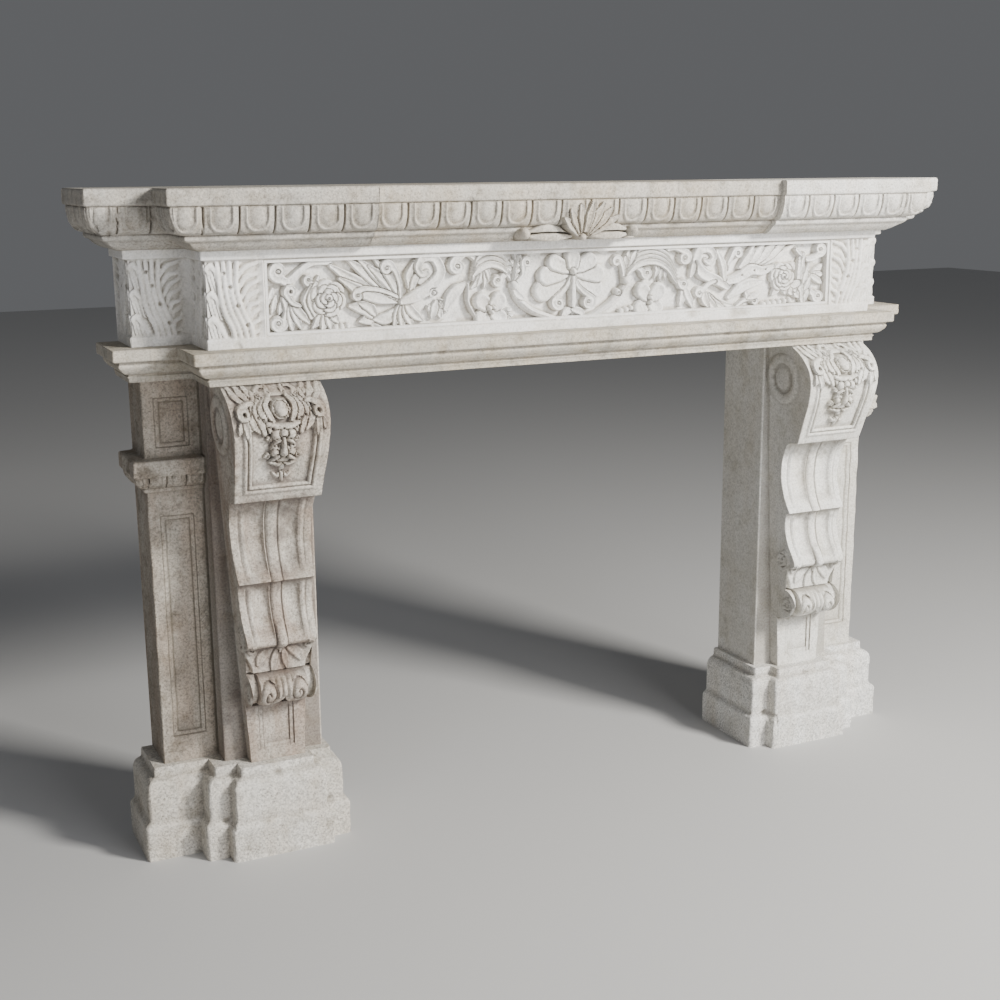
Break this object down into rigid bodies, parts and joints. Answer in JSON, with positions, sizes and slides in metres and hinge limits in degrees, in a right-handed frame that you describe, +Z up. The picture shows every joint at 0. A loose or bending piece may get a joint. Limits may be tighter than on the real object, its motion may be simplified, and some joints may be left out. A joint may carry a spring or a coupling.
{
  "type": "fireplace mantel",
  "caption": "Carved limestone fireplace mantel on stepped plinths, with scroll consoles, panelled pilasters, a foliage frieze and a moulded egg-carved shelf.",
  "frame": {"origin": "on the floor, at the middle of the width and of the depth of the whole mantel", "axes": "+X along the shelf to the right as seen from the room, +Y into the wall, +Z up"},
  "size_m": [2.1826, 0.385, 1.5002],
  "materials": {
    "plinth_stone": "matt",
    "jamb_stone": "matt",
    "pilaster_stone": "matt",
    "architrave_stone": "matt",
    "frieze_stone": "matt",
    "shelf_stone": "matt"
  },
  "bodies": {
    "root": {"plinth_left": "plinth_stone", "plinth_right": "plinth_stone", "jamb_left": "jamb_stone", "jamb_right": "jamb_stone", "pilaster_left": "pilaster_stone", "pilaster_right": "pilaster_stone", "architrave": "architrave_stone", "frieze": "frieze_stone", "shelf_left": "shelf_stone", "shelf_centre": "shelf_stone", "shelf_right": "shelf_stone"}
  },
  "joints": []
}
